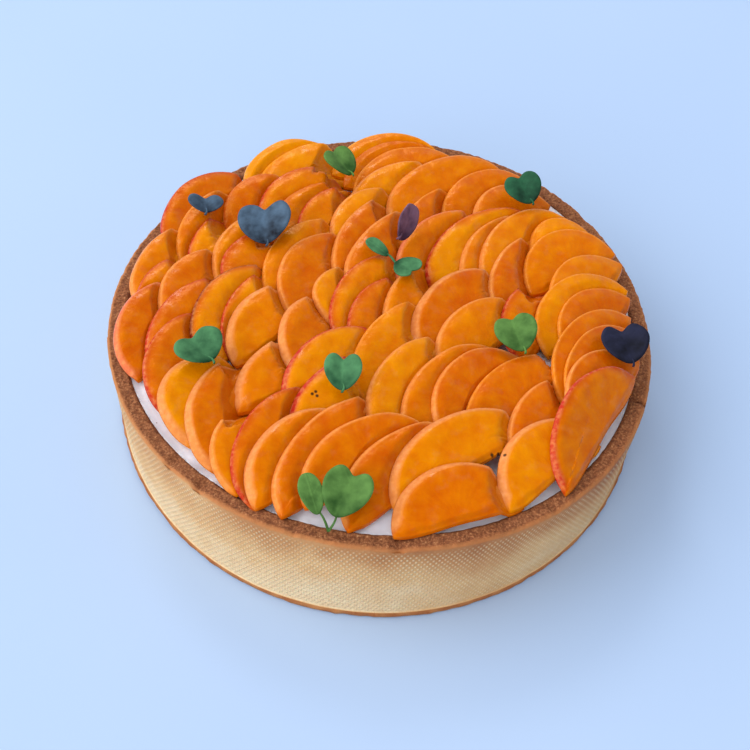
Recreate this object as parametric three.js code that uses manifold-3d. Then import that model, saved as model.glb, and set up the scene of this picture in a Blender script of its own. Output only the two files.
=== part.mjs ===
// Fruit tart: a straight-sided shortcrust case filled with cream. Half-moon slices of apricot are
// shingled over the cream in slanting columns, and small two-lobed leaves are scattered on them.
// Millimetres, +Z up. The origin is the centre of the underside, and the viewer stands towards -Y.

import * as THREE from "three";
import { mergeVertices } from "three/addons/utils/BufferGeometryUtils.js";
import Module from "manifold-3d";

const wasm = await Module();
wasm.setup();

// Driving dimensions
const RIM_RADIUS = 82;
const HEIGHT = 34.8;
const WALL = 5;
const FLOOR = 4;
const CREAM_BELOW_RIM = 1.3;
const CREAM_DOME = 1.5;
const GAP = 0.3;
const FINEST = 0.1; // relief finer than this is left out

// Slices of fruit
const SLICE_WIDTH = 17.8;
const SLICE_THICKNESS = 3;
const CUT_BULGE = 1.6; // how far the cut edge lies past the widest line, which rounds the tips
const LEAN_OUT = 15; // degrees by which the crown is lifted
const LEAN_BACK = 6; // degrees by which the far tip is lifted
const MOST_SUNK = 2.3; // how far a slice may press into what its curved edge crosses
const MOST_RAISED = 1.2; // how far it is lifted for that
const ARC_STEPS = 9; // straight stretches in the curved edge
const ROOM_HEIGHT = 30;

const CREAM_LEVEL = HEIGHT - CREAM_BELOW_RIM;
const INNER_RADIUS = RIM_RADIUS - WALL;
const RADIANS = Math.PI / 180;

const colours = {
  crust: { color: 0xcda878, roughness: 0.85, metalness: 0 },
  cream: { color: 0xe9e6ea, roughness: 0.5, metalness: 0 },
  apricot: { color: 0xe57c0a, roughness: 0.3, metalness: 0 },
  green_leaf: { color: 0x4f8a50, roughness: 0.6, metalness: 0 },
  blue_leaf: { color: 0x485a70, roughness: 0.6, metalness: 0 },
  purple_leaf: { color: 0x6e4b64, roughness: 0.6, metalness: 0 },
  navy_leaf: { color: 0x262a40, roughness: 0.6, metalness: 0 },
};

// Slices in the order in which they are laid: in slanting columns from the left edge of the tart to
// the right edge, and from the back to the front within a column. A slice is [x, y, heading, length]:
// where the crown of its curved edge lies in plan, the way the crown points in degrees from +X, its
// length from tip to tip and, where it is steeper than most, its lean in degrees.
// Slices in one inner list are stuck together.
const SLICES = [
  // First column, along the left edge
  [[-70, 41, 154, 40]],
  [[-75, 16, 154, 40], [-73, 4, 156, 35]],
  [[-77, -9, 160, 38]],
  [[-62, 36, 144, 40], [-53, 34, 126, 40]],
  [[-65, 8, 149, 36], [-65, -6, 150, 43]],
  // Second column
  [[-41, 67, 123, 35], [-33, 66, 117, 39]],
  [[-47, 50, 122, 30], [-35, 53, 126, 36]],
  [[-52, 23, 156, 38], [-49, 18, 153, 32]],
  [[-67, -24, 169, 39], [-55, -3, 159, 41]],
  [[-27, 48, 114, 37], [-23, 46, 126, 32]],
  [[-46, -2, 159, 40], [-35, 22, 151, 40]],
  [[-61, -35, 165, 31], [-52, -38, 164, 40]],
  [[-40, -1, 136, 37]],
  [[-43, -48, 154, 31]],
  // Third column
  [[-3, 77, 94, 38], [-1, 73, 99, 36]],
  [[2, 70, 104, 38], [0, 62, 108, 39]],
  [[-15, 43, 141, 35], [-32, 15, 160, 37]],
  [[-31, -18, 124, 40], [-30, -10, 165, 34]],
  [[-13, 35, 148, 46], [-22, 5, 171, 26]],
  [[10, 63, 123, 44]],
  [[-7, 30, 143, 46], [-14, 7, 155, 40]],
  [[-9, 1, 156, 36]],
  [[-23, -20, 144, 40], [-36, -47, 155, 42]],
  // Fourth column
  [[9, 46, 137, 38], [23, 58, 130, 35]],
  [[8, 33, 140, 41]],
  [[6, 14, 138, 42]],
  [[-16, -27, 133, 43], [-3, -9, 145, 43]],
  [[-28, -48, 136, 39], [-18, -46, 138, 50]],
  // Fifth column
  [[31, 53, 130, 29]],
  [[22, 37, 129, 45], [28, 34, 139, 40]],
  [[33, 35, 145, 41]],
  [[14, 8, 140, 40], [35, 24, 148, 39]],
  [[0, -25, 152, 42]],
  [[21, -2, 139, 37], [38, 7, 147, 34]],
  [[12, -24, 143, 42], [18, -25, 150, 37]],
  [[-9, -47, 125, 42], [1, -51, 132, 45]],
  // Sixth column
  [[50, 41, 117, 23], [50, 34, 123, 32]],
  [[32, -24, 136, 42]],
  [[16, -44, 127, 46]],
  [[19, -57, 110, 37]],
  [[41, -32, 143, 37]],
  // Last column, along the right edge
  [[52, 18, 151, 33], [51, 11, 136, 36, 18]],
  [[54, 4, 151, 32, 18]],
  [[40, -44, 133, 36]],
  [[52, -10, 154, 41, 20], [54, -18, 162, 40, 22]],
  [[55, -22, 151, 33, 24], [52, -35, 152, 45, 36]],
];

// Leaves. A blade is [x, y, heading, width, length, notch]: the place of its pointed end from the
// sprig's root, the way it points from there, its size, and how deep the notch between its lobes is.
// pitch lifts its lobes and roll turns it about its own length, in degrees. root is where the stem
// ends in plan, and drop how far below the blades it ends, if that isn't level with them.
const LEAVES = [
  { name: "leaf_back_left", colour: "blue_leaf", root: [-58, 29.5], pitch: 12, roll: 10,
    blades: [[0, 0, 98, 12, 7, 0.5]] },
  { name: "leaf_slate", colour: "blue_leaf", root: [-37.5, 18], pitch: 14, roll: -12,
    blades: [[0, 0, 98, 18, 16, 0.5]] },
  { name: "leaf_back", colour: "green_leaf", root: [-14, 53], pitch: 20, roll: 14,
    blades: [[0, 0, 135, 12.5, 12, 0.35]] },
  { name: "leaf_upright", colour: "purple_leaf", root: [3, 24], pitch: 35, roll: 62,
    blades: [[0, 0, 70, 9, 12, 0]] },
  { name: "sprig_middle", colour: "green_leaf", root: [2, 14], pitch: 6, roll: 0,
    blades: [[-2, 2, 140, 5, 9, 0], [1, 0, -43, 10, 8.5, 0.5]] },
  { name: "leaf_back_right", colour: "green_leaf", root: [44.5, 44], pitch: 18, roll: -6,
    blades: [[0, 0, 118, 13, 12, 0.4]] },
  { name: "leaf_right", colour: "green_leaf", root: [41, -18], pitch: 12, roll: -8,
    blades: [[0, 0, 110, 13.5, 13, 0.4]] },
  { name: "leaf_rim", colour: "navy_leaf", root: [72, -20], pitch: 8, roll: -4,
    blades: [[0, 0, 103, 15, 14, 0.45]] },
  { name: "leaf_left", colour: "green_leaf", root: [-47.5, -30], pitch: 10, roll: 6,
    blades: [[0, 0, 136, 16.5, 11.5, 0.4]] },
  { name: "leaf_middle", colour: "green_leaf", root: [-10, -39], pitch: 22, roll: 0,
    blades: [[0, 2, 92, 11.5, 12, 0.5]] },
  { name: "sprig_front", colour: "green_leaf", root: [-10.3, -77.5], pitch: 12, roll: 0, drop: 5,
    blades: [[1.5, 1.5, 70, 14.5, 15.5, 0.4], [-3, 1.8, 112, 7, 12, 0]] },
];
const LEAF_THICKNESS = 0.7;
const STEM_RADIUS = 0.6;
const STEM_IN_BLADE = 2; // how far a stem reaches into its blade
const STEM_LENGTH = 3.4; // of a leaf on its own
const NOTCH_ANGLE = 0.42; // half the notch's width, in radians
const TIP_NARROWING = 0.3;

// Small helpers

function seededRandom(seed) {
  let state = seed;
  return () => {
    state = (state * 1664525 + 1013904223) % 4294967296;
    return state / 4294967296;
  };
}

// A closed solid from a geometry. Shared corners are merged, and triangles with no area are dropped.
function solidOf(geometry) {
  const bare = geometry.clone();
  bare.deleteAttribute("normal");
  bare.deleteAttribute("uv");
  const merged = mergeVertices(bare, 1e-4);
  const corners = [];
  const index = merged.getIndex().array;
  for (let i = 0; i < index.length; i += 3) {
    const [a, b, c] = [index[i], index[i + 1], index[i + 2]];
    if (a !== b && b !== c && c !== a) corners.push(a, b, c);
  }
  const mesh = new wasm.Mesh({
    numProp: 3,
    vertProperties: new Float32Array(merged.getAttribute("position").array),
    triVerts: new Uint32Array(corners),
  });
  return new wasm.Manifold(mesh);
}

function geometryOf(solid) {
  const mesh = solid.getMesh();
  const geometry = new THREE.BufferGeometry();
  geometry.setAttribute("position", new THREE.BufferAttribute(mesh.vertProperties, 3));
  geometry.setIndex(new THREE.BufferAttribute(mesh.triVerts, 1));
  geometry.computeVertexNormals();
  return geometry;
}

// What is cut loose from a piece is dropped, and relief that is too fine is smoothed.
function largestPart(solid) {
  const parts = solid.decompose();
  const largest = parts.reduce((best, part) => (part.volume() > best.volume() ? part : best));
  return largest.simplify(FINEST);
}

function addMesh(group, name, geometry, colour) {
  const mesh = new THREE.Mesh(geometry, new THREE.MeshStandardMaterial(colours[colour]));
  mesh.name = name;
  group.add(mesh);
  return mesh;
}

// Crust

// The rim is a little out of round, and the base less so. The terms are shares of the radius for
// three and four waves round the ring.
function roundness(angle, height) {
  const rim = -0.007 * Math.cos(3 * angle) - 0.007 * Math.sin(3 * angle)
    - 0.0014 * Math.cos(4 * angle) - 0.0014 * Math.sin(4 * angle);
  const base = 0.0014 * Math.cos(3 * angle) + 0.0068 * Math.sin(3 * angle);
  const share = height / HEIGHT;
  return 1 + rim * share + base * (1 - share);
}

// Chips in the rim: their angle in degrees, half width in degrees and depth in millimetres.
const CHIPS = [
  { angle: -133, halfWidth: 1.6, depth: 1.2 },
  { angle: -125, halfWidth: 1.8, depth: 1.4 },
  { angle: -84, halfWidth: 2.2, depth: 1.2 },
  { angle: -18, halfWidth: 1.2, depth: 1.6 },
  { angle: -52, halfWidth: 1.5, depth: 0.7 },
  { angle: -104, halfWidth: 1.4, depth: 0.6 },
  { angle: 38, halfWidth: 1.8, depth: 0.8 },
  { angle: 172, halfWidth: 1.6, depth: 0.7 },
];
const RIM_ROUGHNESS = 0.3;

function chipDepth(angle) {
  const degrees = angle / RADIANS;
  const depths = CHIPS.map((chip) => {
    const away = Math.abs(((degrees - chip.angle + 540) % 360) - 180);
    return Math.max(0, chip.depth * (1 - away / chip.halfWidth));
  });
  return Math.max(...depths);
}

// The case, or with grow the room that it and a gap take up
function crustGeometry(grow) {
  const lip = 0.5;
  const profile = [
    [0, 0],
    [RIM_RADIUS - 0.6, 0],
    [RIM_RADIUS + lip, 0.7],
    [RIM_RADIUS + lip, 1.5],
    [RIM_RADIUS - 0.2, 2.4],
    [RIM_RADIUS + grow, HEIGHT - 1],
    [RIM_RADIUS - 0.8 + grow, HEIGHT + grow],
    [INNER_RADIUS + 1 - grow, HEIGHT + grow],
    [INNER_RADIUS - grow, HEIGHT - 0.8],
    [INNER_RADIUS - grow, FLOOR],
    [0, FLOOR],
  ].map(([radius, height]) => new THREE.Vector2(radius, height));
  const segments = 132;
  const geometry = new THREE.LatheGeometry(profile, segments);
  const random = seededRandom(7);
  const jitter = Array.from({ length: segments * 2 }, () => (random() * 2 - 1) * RIM_ROUGHNESS);
  const position = geometry.getAttribute("position");
  for (let i = 0; i < position.count; i += 1) {
    // The lathe turns about Y, so its height becomes Z here
    const height = position.getY(i);
    const [x, y] = [position.getZ(i), position.getX(i)];
    const angle = Math.atan2(y, x);
    const step = Math.round((angle / (2 * Math.PI)) * segments + segments) % segments;
    const radius = Math.hypot(x, y);
    const onRim = height > HEIGHT - 0.1;
    const outer = radius > RIM_RADIUS - 1;
    const drop = onRim ? chipDepth(angle) - jitter[step + (outer ? segments : 0)] : 0;
    const factor = roundness(angle, height);
    position.setXYZ(i, x * factor, y * factor, height - Math.max(drop, -RIM_ROUGHNESS));
  }
  return geometry;
}

// Cream

function creamGeometry() {
  const radius = INNER_RADIUS - GAP;
  const low = FLOOR + GAP;
  const profile = [
    [0, low],
    [radius, low],
    [radius, CREAM_LEVEL - 0.4],
    [radius - 1.5, CREAM_LEVEL],
    [radius * 0.6, CREAM_LEVEL + CREAM_DOME * 0.7],
    [0, CREAM_LEVEL + CREAM_DOME],
  ].map(([across, height]) => new THREE.Vector2(across, height));
  const geometry = new THREE.LatheGeometry(profile, 66);
  const position = geometry.getAttribute("position");
  for (let i = 0; i < position.count; i += 1) {
    const height = position.getY(i);
    const [x, y] = [position.getZ(i), position.getX(i)];
    const factor = roundness(Math.atan2(y, x), height);
    position.setXYZ(i, x * factor, y * factor, height);
  }
  return geometry;
}

// Ground: the height of what already lies on the tart, on a square grid of plan places

const CELL = 1;
const REACH = 95;
const ACROSS = 2 * REACH + 1;
const ground = new Float64Array(ACROSS * ACROSS);

function cellOf(x, y) {
  return Math.round((y + REACH) / CELL) * ACROSS + Math.round((x + REACH) / CELL);
}

function fillGround() {
  for (let y = -REACH; y <= REACH; y += CELL) {
    for (let x = -REACH; x <= REACH; x += CELL) {
      const out = Math.hypot(x, y) / roundness(Math.atan2(y, x), HEIGHT);
      const cream = CREAM_LEVEL + CREAM_DOME * (1 - (out / INNER_RADIUS) ** 2);
      const crust = out < RIM_RADIUS + 1 ? HEIGHT + RIM_ROUGHNESS : 0;
      const height = out < INNER_RADIUS - 1 ? cream : crust;
      ground[cellOf(x, y)] = height + GAP;
    }
  }
}

// Slices. In a slice's own plane, depth runs from the crown towards the cut edge and along runs from
// the middle towards the far tip, on the right of the heading.

function outlineOf(slice, grow) {
  const arcDepth = SLICE_WIDTH - CUT_BULGE;
  const half = slice.length / 2 + grow;
  const points = [];
  for (let i = 0; i <= ARC_STEPS; i += 1) {
    const turn = (i / ARC_STEPS - 0.5) * Math.PI;
    points.push([arcDepth - (arcDepth + grow) * Math.cos(turn), half * Math.sin(turn)]);
  }
  const cutSide = [0.92, 0.6, -0.6, -0.92];
  for (const share of cutSide) {
    const bulge = CUT_BULGE * (1 - share ** 6);
    points.push([arcDepth + bulge + grow, half * share]);
  }
  return points;
}

// The slice's axes: down its plane towards the cut edge, along to the far tip, and out of its face.
function axesOf(heading, leanOut, leanBack) {
  const turn = heading * RADIANS;
  const [out, back] = [leanOut * RADIANS, leanBack * RADIANS];
  const depth = new THREE.Vector3(
    -Math.cos(turn) * Math.cos(out), -Math.sin(turn) * Math.cos(out), -Math.sin(out));
  const along = new THREE.Vector3(
    Math.sin(turn) * Math.cos(back), -Math.cos(turn) * Math.cos(back), Math.sin(back));
  const face = new THREE.Vector3().crossVectors(depth, along).normalize();
  return { depth, along, face };
}

// Points about a millimetre apart inside the outline
function samplesOf(slice) {
  const arcDepth = SLICE_WIDTH - CUT_BULGE;
  const half = slice.length / 2;
  const samples = [];
  const spacing = 0.8;
  for (let depth = 0.2; depth < SLICE_WIDTH; depth += spacing) {
    for (let along = -half; along <= half; along += spacing) {
      const rise = Math.max(0, 1 - depth / arcDepth);
      const inside = rise ** 2 + (along / half) ** 2 < 1;
      if (inside) samples.push([depth, along]);
    }
  }
  return samples;
}

// A slice leans back on its neighbours like a roof tile, with its low corner on the cream. It presses
// into them, as soft fruit does, but its curved edge is lifted where it would sink too far.
function settle([x, y, heading, length, leanOut = LEAN_OUT]) {
  const axes = axesOf(heading, leanOut, LEAN_BACK);
  const rise = -axes.depth.z * SLICE_WIDTH + (axes.along.z * length) / 2;
  const laid = { x, y, length, axes, height: CREAM_LEVEL + GAP + rise };
  laid.height += Math.min(MOST_RAISED, Math.max(0, deepest(laid) - MOST_SUNK));
  coverGround(laid);
  return laid;
}

// How far the underside of the curved edge lies below the ground at its worst
function deepest(slice) {
  const { depth, along } = slice.axes;
  const edge = outlineOf(slice, 0).slice(0, ARC_STEPS + 1);
  const depths = edge.map(([down, side]) => {
    const x = slice.x + depth.x * down + along.x * side;
    const y = slice.y + depth.y * down + along.y * side;
    return ground[cellOf(x, y)] - (slice.height + depth.z * down + along.z * side);
  });
  return Math.max(...depths);
}

function coverGround(slice) {
  const { depth, along, face } = slice.axes;
  for (const [down, side] of samplesOf(slice)) {
    const x = slice.x + depth.x * down + along.x * side;
    const y = slice.y + depth.y * down + along.y * side;
    ground[cellOf(x, y)] = slice.height + depth.z * down + along.z * side + SLICE_THICKNESS / face.z;
  }
}

// The upright solid over a slice's outline, from its underside less sink
function prismOf(slice, grow, sink, tall) {
  const shape = new THREE.Shape(outlineOf(slice, grow).map(([x, y]) => new THREE.Vector2(x, y)));
  const geometry = new THREE.ExtrudeGeometry(shape, { depth: tall, bevelEnabled: false });
  const { depth, along } = slice.axes;
  const position = geometry.getAttribute("position");
  const place = new THREE.Vector3();
  for (let i = 0; i < position.count; i += 1) {
    place.set(slice.x, slice.y, slice.height);
    place.addScaledVector(depth, position.getX(i));
    place.addScaledVector(along, position.getY(i));
    position.setXYZ(i, place.x, place.y, place.z - sink + position.getZ(i));
  }
  return solidOf(geometry);
}

// Slices are cut straight down, so their sides are upright.
function bodyOf(slice) {
  return prismOf(slice, 0, 0, SLICE_THICKNESS / slice.axes.face.z);
}

// A slice's body with a gap round it, and all that is straight above
function roomOf(slice) {
  return prismOf(slice, GAP, GAP, ROOM_HEIGHT);
}

// In a pair, what would stand out above the upper slice is cut off the lower one.
function joinPair(lower, upper) {
  const above = prismOf(upper, 0, -SLICE_THICKNESS / 2, ROOM_HEIGHT);
  return bodyOf(lower).subtract(above).add(bodyOf(upper));
}

// Every piece laid later takes its room out of the pieces below it, and none enters the case.
function sliceSolids(support) {
  const pieces = [];
  for (const cluster of SLICES) {
    const laid = cluster.map(settle);
    const room = laid.map(roomOf).reduce((all, one) => all.add(one));
    for (const piece of pieces) piece.solid = piece.solid.subtract(room);
    const [lower, upper] = laid;
    const solid = upper ? joinPair(lower, upper) : bodyOf(lower);
    pieces.push({ name: `slice_${pieces.length + 1}`, solid: solid.subtract(support) });
  }
  return pieces;
}

// Leaves

// A blade has the outline of a plump heart, or of an egg if it has no notch.
function bladeOutline(width, length, notch, around) {
  const outline = [];
  for (let i = 0; i < around; i += 1) {
    const turn = (i / around) * 2 * Math.PI;
    const fromNotch = Math.min(turn, 2 * Math.PI - turn);
    const reach = 1 - notch * Math.exp(-((fromNotch / NOTCH_ANGLE) ** 2));
    const narrowed = 1 - TIP_NARROWING * ((1 - Math.cos(turn)) / 2) ** 2;
    const across = (narrowed * reach * Math.sin(turn) * width) / 2;
    outline.push([across, ((1 + reach * Math.cos(turn)) * length) / 2]);
  }
  return outline;
}

// A blade is folded along its midline, and its edge waves.
function bladeGeometry(width, length, notch) {
  const around = 14;
  const rings = [0.5, 1];
  const fold = 0.22;
  const wave = 0.35;
  const centre = [0, 0.55 * length];
  const outline = bladeOutline(width, length, notch, around);
  const positions = [];
  for (const side of [0, 1]) {
    for (const ring of rings) {
      outline.forEach(([x, y], i) => {
        const [px, py] = [centre[0] + ring * (x - centre[0]), centre[1] + ring * (y - centre[1])];
        const lift = fold * Math.abs(px) + wave * ring * Math.sin(3 * (i / around) * 2 * Math.PI);
        positions.push(px, py, lift + side * LEAF_THICKNESS);
      });
    }
    positions.push(centre[0], centre[1], side * LEAF_THICKNESS);
  }
  const perSide = 2 * around + 1;
  const index = [];
  const face = (a, b, c, top) => (top ? index.push(a, b, c) : index.push(a, c, b));
  for (const side of [0, 1]) {
    const start = side * perSide;
    const hub = start + 2 * around;
    for (let i = 0; i < around; i += 1) {
      const next = (i + 1) % around;
      const inner = [start + i, start + next];
      const outer = [start + around + i, start + around + next];
      face(hub, inner[1], inner[0], side === 1);
      face(inner[0], inner[1], outer[1], side === 1);
      face(inner[0], outer[1], outer[0], side === 1);
    }
  }
  for (let i = 0; i < around; i += 1) {
    const next = (i + 1) % around;
    const low = [around + i, around + next];
    const high = [perSide + around + i, perSide + around + next];
    index.push(low[0], high[1], low[1], low[0], high[0], high[1]);
  }
  const geometry = new THREE.BufferGeometry();
  geometry.setAttribute("position", new THREE.BufferAttribute(new Float32Array(positions), 3));
  geometry.setIndex(index);
  return geometry;
}

function stemGeometry(from, to) {
  const line = new THREE.Vector3().subVectors(to, from);
  const geometry = new THREE.CylinderGeometry(STEM_RADIUS, STEM_RADIUS, line.length(), 5);
  const turn = new THREE.Quaternion().setFromUnitVectors(new THREE.Vector3(0, 1, 0), line.normalize());
  geometry.applyQuaternion(turn);
  const middle = new THREE.Vector3().addVectors(from, to).multiplyScalar(0.5);
  return geometry.translate(middle.x, middle.y, middle.z);
}

// The blades of a leaf or sprig with their stems. Stems of a sprig meet in its root.
function leafSolid(leaf) {
  const middle = LEAF_THICKNESS / 2;
  const root = new THREE.Vector3(0, 0, middle - (leaf.drop ?? 0));
  const solids = leaf.blades.map(([x, y, heading, width, length, notch]) => {
    const blade = bladeGeometry(width, length, notch)
      .rotateY(leaf.roll * RADIANS)
      .rotateX(leaf.pitch * RADIANS)
      .rotateZ((heading - 90) * RADIANS)
      .translate(x, y, 0);
    const ahead = new THREE.Vector3(Math.cos(heading * RADIANS), Math.sin(heading * RADIANS), 0);
    const end = new THREE.Vector3(x, y, middle + STEM_IN_BLADE * Math.tan(leaf.pitch * RADIANS));
    end.addScaledVector(ahead, STEM_IN_BLADE);
    const start = leaf.blades.length > 1 ? root : end.clone().addScaledVector(ahead, -STEM_LENGTH);
    return solidOf(blade).add(solidOf(stemGeometry(start, end)));
  });
  return solids.reduce((all, one) => all.add(one));
}

// A leaf is let down until it is a gap above what it lies on.
function layLeaf(leaf) {
  const solid = leafSolid(leaf);
  const { vertProperties } = solid.getMesh();
  let height = 0;
  for (let i = 0; i < vertProperties.length; i += 3) {
    const cell = cellOf(vertProperties[i] + leaf.root[0], vertProperties[i + 1] + leaf.root[1]);
    const near = [cell, cell - 1, cell + 1, cell - ACROSS, cell + ACROSS].map((one) => ground[one]);
    height = Math.max(height, Math.max(...near) - vertProperties[i + 2]);
  }
  return { geometry: geometryOf(solid), place: [leaf.root[0], leaf.root[1], height + GAP] };
}

// Assembly

fillGround();
const tart = new THREE.Group();
const cream = solidOf(creamGeometry());
addMesh(tart, "crust", geometryOf(solidOf(crustGeometry(0))), "crust");
addMesh(tart, "cream", geometryOf(cream), "cream");
const support = solidOf(crustGeometry(GAP)).add(cream.translate([0, 0, GAP]));
for (const { name, solid } of sliceSolids(support)) {
  addMesh(tart, name, geometryOf(largestPart(solid)), "apricot");
}
for (const leaf of LEAVES) {
  const { geometry, place } = layLeaf(leaf);
  addMesh(tart, leaf.name, geometry, leaf.colour).position.set(...place);
}

export default tart;
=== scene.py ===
"""Fruit tart: the looks of the crust, the cream, the shingled apricot slices and the small leaves."""

import math

import bpy
import numpy as np
from mathutils import Matrix, Vector


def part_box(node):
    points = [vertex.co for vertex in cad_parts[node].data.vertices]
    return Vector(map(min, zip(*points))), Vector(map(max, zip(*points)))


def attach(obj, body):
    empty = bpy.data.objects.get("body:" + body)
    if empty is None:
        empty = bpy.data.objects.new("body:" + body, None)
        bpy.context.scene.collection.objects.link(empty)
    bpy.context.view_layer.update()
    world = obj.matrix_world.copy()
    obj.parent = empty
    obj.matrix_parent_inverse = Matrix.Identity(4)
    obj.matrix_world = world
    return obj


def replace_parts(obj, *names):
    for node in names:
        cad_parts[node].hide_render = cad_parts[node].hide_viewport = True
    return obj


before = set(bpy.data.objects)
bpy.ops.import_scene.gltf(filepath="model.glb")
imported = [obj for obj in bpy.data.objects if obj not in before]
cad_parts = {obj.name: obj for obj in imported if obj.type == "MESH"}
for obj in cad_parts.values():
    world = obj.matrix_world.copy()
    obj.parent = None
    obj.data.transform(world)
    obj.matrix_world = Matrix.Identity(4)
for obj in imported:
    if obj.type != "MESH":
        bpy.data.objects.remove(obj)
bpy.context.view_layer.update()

# Sizes in millimetres, the same as those of the solids. Meshes are written in metres.
MM = 0.001
RIM_RADIUS = 82.0
HEIGHT = 34.8
WALL = 5.0
INNER_RADIUS = RIM_RADIUS - WALL
CREAM_LEVEL = HEIGHT - 1.3
CREAM_DOME = 1.5
FLOOR = 4.0
RIM_ROUGHNESS = 0.3  # how far crumbs stand above the rim
GAP = 0.3  # kept between a piece and what it lies on

SLICE_WIDTH = 17.8
SLICE_THICKNESS = 3.0
CUT_BULGE = 1.6  # how far the cut edge lies past the widest line, which rounds the tips
ARC_DEPTH = SLICE_WIDTH - CUT_BULGE
LEAN_OUT = 15.0  # degrees by which the crown is lifted
LEAN_BACK = 6.0  # degrees by which the far tip is lifted
MOST_SUNK = 2.3  # how far a slice may press into what its curved edge crosses
MOST_RAISED = 1.2  # how far it is lifted for that

# Slices: (x, y, heading, length, skin) and, where it is steeper than most, the lean in degrees. x and y
# are the crown of the curved edge in plan, and heading is the way the crown points. They are laid in
# slanting columns from the left edge of the tart to the right edge, and from the back to the front
# within a column. Those in one inner list are one piece, as their solids are.
SLICES = [
    # First column, along the left edge
    [(-70, 41, 154, 40, "red")],
    [(-75, 16, 154, 40, "pale"), (-73, 4, 156, 35, "red")],
    [(-77, -9, 160, 38, "pink")],
    [(-62, 36, 144, 40, "plain"), (-53, 34, 126, 40, "red")],
    [(-65, 8, 149, 36, "pale"), (-65, -6, 150, 43, "red")],
    # Second column
    [(-41, 67, 123, 35, "gold"), (-33, 66, 117, 39, "gold")],
    [(-47, 50, 122, 30, "amber"), (-35, 53, 126, 36, "red")],
    [(-52, 23, 156, 38, "pale"), (-49, 18, 153, 32, "red")],
    [(-67, -24, 169, 39, "red"), (-55, -3, 159, 41, "dark")],
    [(-27, 48, 114, 37, "amber"), (-23, 46, 126, 32, "red")],
    [(-46, -2, 159, 40, "red"), (-35, 22, 151, 40, "plain")],
    [(-61, -35, 165, 31, "wide"), (-52, -38, 164, 40, "wide")],
    [(-40, -1, 136, 37, "wide")],
    [(-43, -48, 154, 31, "pale")],
    # Third column
    [(-3, 77, 94, 38, "gold"), (-1, 73, 99, 36, "amber")],
    [(2, 70, 104, 38, "plain"), (0, 62, 108, 39, "pale")],
    [(-15, 43, 141, 35, "pale"), (-32, 15, 160, 37, "pale")],
    [(-31, -18, 124, 40, "wide"), (-30, -10, 165, 34, "wide")],
    [(-13, 35, 148, 46, "pale"), (-22, 5, 171, 26, "pale")],
    [(10, 63, 123, 44, "pale")],
    [(-7, 30, 143, 46, "pale"), (-14, 7, 155, 40, "red")],
    [(-9, 1, 156, 36, "red")],
    [(-23, -20, 144, 40, "ruby"), (-36, -47, 155, 42, "red")],
    # Fourth column
    [(9, 46, 137, 38, "plain"), (23, 58, 130, 35, "plain")],
    [(8, 33, 140, 41, "pink")],
    [(6, 14, 138, 42, "pale")],
    [(-16, -27, 133, 43, "ruby"), (-3, -9, 145, 43, "plain")],
    [(-28, -48, 136, 39, "wide"), (-18, -46, 138, 50, "pale")],
    # Fifth column
    [(31, 53, 130, 29, "pale")],
    [(22, 37, 129, 45, "red"), (28, 34, 139, 40, "pale")],
    [(33, 35, 145, 41, "pale")],
    [(14, 8, 140, 40, "wide"), (35, 24, 148, 39, "pale")],
    [(0, -25, 152, 42, "pale")],
    [(21, -2, 139, 37, "pale"), (38, 7, 147, 34, "red")],
    [(12, -24, 143, 42, "pale"), (18, -25, 150, 37, "pale")],
    [(-9, -47, 125, 42, "pale"), (1, -51, 132, 45, "pale")],
    # Sixth column
    [(50, 41, 117, 23, "plain"), (50, 34, 123, 32, "plain")],
    [(32, -24, 136, 42, "plain")],
    [(16, -44, 127, 46, "wide")],
    [(19, -57, 110, 37, "wide")],
    [(41, -32, 143, 37, "pale")],
    # Last column, along the right edge
    [(52, 18, 151, 33, "plain"), (51, 11, 136, 36, "plain", 18)],
    [(54, 4, 151, 32, "plain", 18)],
    [(40, -44, 133, 36, "wide")],
    [(52, -10, 154, 41, "plain", 20), (54, -18, 162, 40, "plain", 22)],
    [(55, -22, 151, 33, "pale", 24), (52, -35, 152, 45, "ruby", 36)],
]

# The skin along a slice's curved edge: its colour as 0 to 255, and how wide the slanted band is.
SKINS = {
    "plain": ((222, 126, 30), 0.5),
    "gold": ((230, 146, 14), 0.5),
    "amber": ((200, 88, 14), 0.6),
    "pale": ((218, 126, 54), 1.0),
    "wide": ((216, 128, 66), 2.0),
    "pink": ((216, 108, 72), 1.2),
    "red": ((182, 40, 26), 0.7),
    "ruby": ((186, 40, 34), 1.4),
    "dark": ((124, 22, 10), 0.7),
}

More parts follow.
